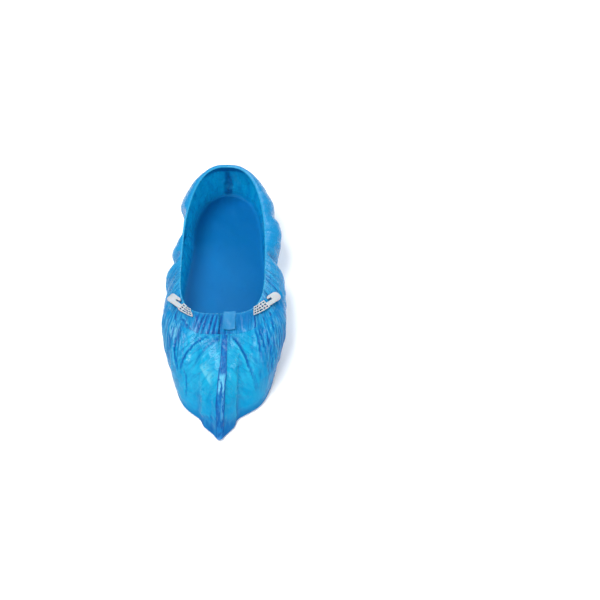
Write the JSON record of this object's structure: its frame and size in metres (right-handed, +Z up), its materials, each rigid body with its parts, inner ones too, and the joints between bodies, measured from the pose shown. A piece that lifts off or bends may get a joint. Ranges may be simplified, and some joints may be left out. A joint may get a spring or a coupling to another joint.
{
  "type": "disposable shoe cover",
  "caption": "Thin blue film shoe cover with a gathered elastic hem, a welded toe seam, a pointed toe and white plastic hooks, in its worn shape.",
  "frame": {"origin": "on the floor, under the middle of the cover's box", "axes": "+Z up, +Y from the toe to the heel, +X to the side that is on the right in the picture, seen from the toe"},
  "size_m": [0.1284, 0.3368, 0.0661],
  "materials": {
    "blue_film": "glossy translucent polyethylene film, bright blue",
    "hem_film": "the same film doubled in the hem, deeper blue",
    "welded_film": "the same film welded in two layers, crinkled and glossy",
    "tab_film": "embossed film, slightly paler blue, soft sheen",
    "elastic": "thin pale elastic",
    "white_plastic": "moulded white plastic, slightly translucent"
  },
  "bodies": {
    "root": {"film_body": "blue_film", "elastic_hem": "hem_film", "elastic_cord": "elastic", "toe_seam": "welded_film", "heel_seam": "welded_film", "front_tab": "tab_film", "clip_right": "white_plastic", "clip_left": "white_plastic"}
  },
  "joints": []
}
